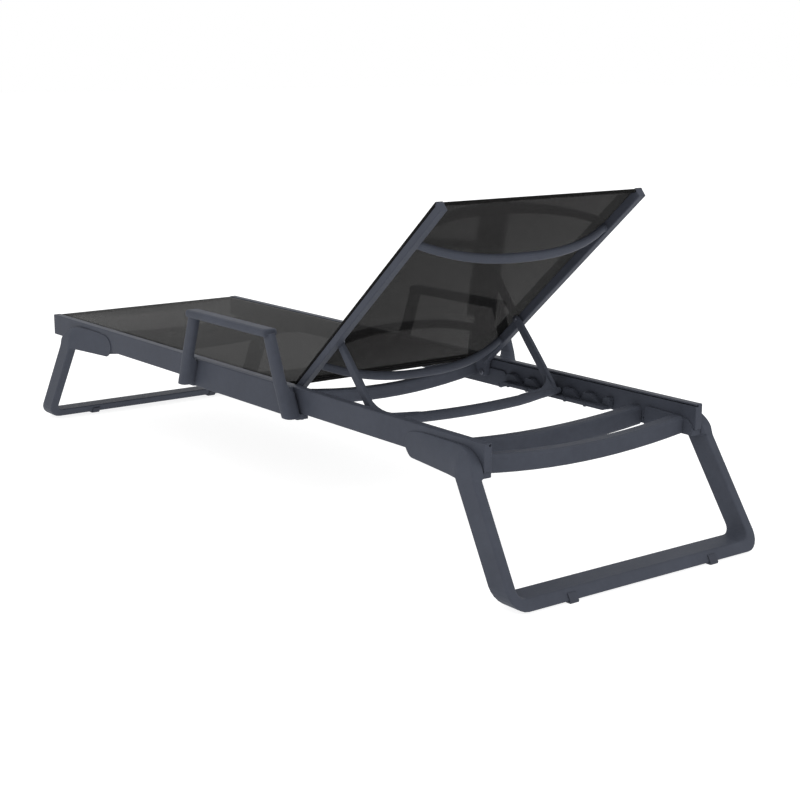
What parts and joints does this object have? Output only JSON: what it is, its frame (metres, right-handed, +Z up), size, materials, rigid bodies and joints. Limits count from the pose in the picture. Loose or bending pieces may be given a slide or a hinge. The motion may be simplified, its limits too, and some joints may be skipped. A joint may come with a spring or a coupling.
{
  "type": "reclining sling sun lounger with arms",
  "caption": "Flat sun lounger with a mesh sling seat, a reclining sling back held by a folding prop in notched strips, two low arms and splayed U-shaped legs.",
  "frame": {"origin": "on the floor under the middle of the lounger's overall length and width", "axes": "+Z up, +Y towards the head end, +X towards the left side of the person lying on it"},
  "size_m": [0.712, 2.1196, 0.7476],
  "materials": {
    "frame_resin": "anthracite moulded resin, fine texture",
    "fitting_resin": "anthracite moulded resin, fine texture",
    "glide_plastic": "dark soft plastic",
    "rod_plastic": "black extruded plastic",
    "sling_fabric": "black coated mesh weave",
    "steel": "plain steel"
  },
  "bodies": {
    "base": {"arm_screw_foot_left": "steel", "arm_screw_foot_right": "steel", "arm_screw_head_left": "steel", "arm_screw_head_right": "steel", "armrest_left": "frame_resin", "armrest_right": "frame_resin", "back_pivot_pin_left": "steel", "back_pivot_pin_right": "steel", "crossbar_behind_back": "frame_resin", "crossbar_foot": "frame_resin", "crossbar_head": "frame_resin", "crossbar_inner_foot": "frame_resin", "crossbar_under_pivot": "frame_resin", "crossbar_under_seat": "frame_resin", "glide_foot_left": "glide_plastic", "glide_foot_right": "glide_plastic", "glide_head_left": "glide_plastic", "glide_head_right": "glide_plastic", "leg_frame_foot": "frame_resin", "leg_frame_head": "frame_resin", "leg_screw_foot_left": "steel", "leg_screw_foot_right": "steel", "leg_screw_head_left": "steel", "leg_screw_head_right": "steel", "pivot_bracket_left": "fitting_resin", "pivot_bracket_right": "fitting_resin", "ratchet_strip_left": "fitting_resin", "ratchet_strip_right": "fitting_resin", "seat_hem_bar_foot": "rod_plastic", "seat_hem_bar_head": "rod_plastic", "seat_keder_rod_left": "rod_plastic", "seat_keder_rod_right": "rod_plastic", "seat_sling": "sling_fabric", "side_rail_left": "frame_resin", "side_rail_right": "frame_resin"},
    "backrest": {"back_crossbar_lower": "frame_resin", "back_crossbar_upper": "frame_resin", "back_end_cap_left": "frame_resin", "back_end_cap_right": "frame_resin", "back_hem_rod_lower": "rod_plastic", "back_hem_rod_upper": "rod_plastic", "back_keder_rod_left": "rod_plastic", "back_keder_rod_right": "rod_plastic", "back_rail_left": "frame_resin", "back_rail_right": "frame_resin", "back_sling": "sling_fabric", "prop_pin_left": "steel", "prop_pin_right": "steel"},
    "prop": {"prop_frame": "frame_resin"}
  },
  "joints": [
    {"name": "back_recline", "type": "hinge", "parent": "base", "child": "backrest", "pos_m": [0, 0.222, 0.262], "axis": [1, 0, 0], "range_deg": [-40.94, 22]},
    {"name": "prop_fold", "type": "hinge", "parent": "backrest", "child": "prop", "pos_m": [0, 0.36, 0.4135], "axis": [1, 0, 0], "range_deg": [-44, 81.9]}
  ],
  "couplings": [
    {"joint": "prop_fold", "follows": "back_recline", "ratio": -2}
  ]
}
